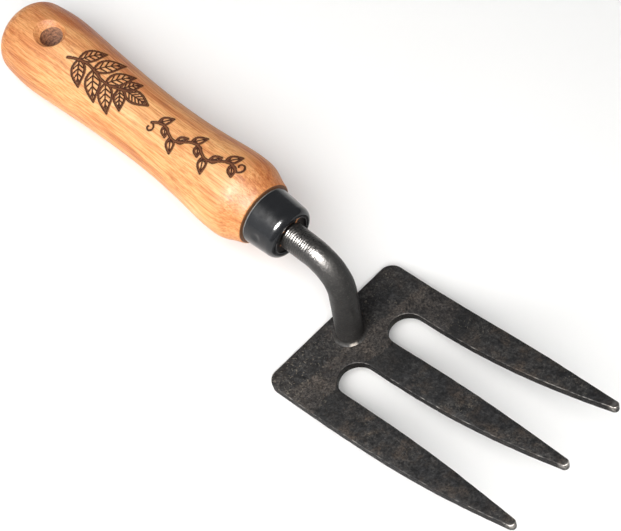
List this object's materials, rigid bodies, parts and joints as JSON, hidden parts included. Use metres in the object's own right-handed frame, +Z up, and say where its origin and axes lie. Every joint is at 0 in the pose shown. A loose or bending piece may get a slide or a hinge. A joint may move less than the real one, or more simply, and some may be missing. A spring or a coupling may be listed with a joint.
{
  "type": "three-tined hand fork",
  "caption": "Small hand fork for weeding: a turned wooden handle with a hanging hole, a steel ferrule, a bent neck bar and a dished flat blade with pointed tines.",
  "frame": {"origin": "on the ground, below the middle of the tool's box, with the tool lying on its heel and butt", "axes": "+X from the handle to the tips, +Y across the blade, +Z up"},
  "size_m": [0.255, 0.0658, 0.0485],
  "materials": {
    "handle_wood": null,
    "ferrule_steel": "smooth blackened steel, satin",
    "neck_steel": "blackened bar, finely pitted, semi-gloss",
    "blade_steel": "mottled dark scale with brown patches, bright where the edges and tips are worn",
    "weld_steel": "dark, rippled weld"
  },
  "bodies": {
    "root": {"handle": "handle_wood", "ferrule": "ferrule_steel", "neck": "neck_steel", "fork_head": "blade_steel", "weld_bead": "weld_steel"}
  },
  "joints": []
}
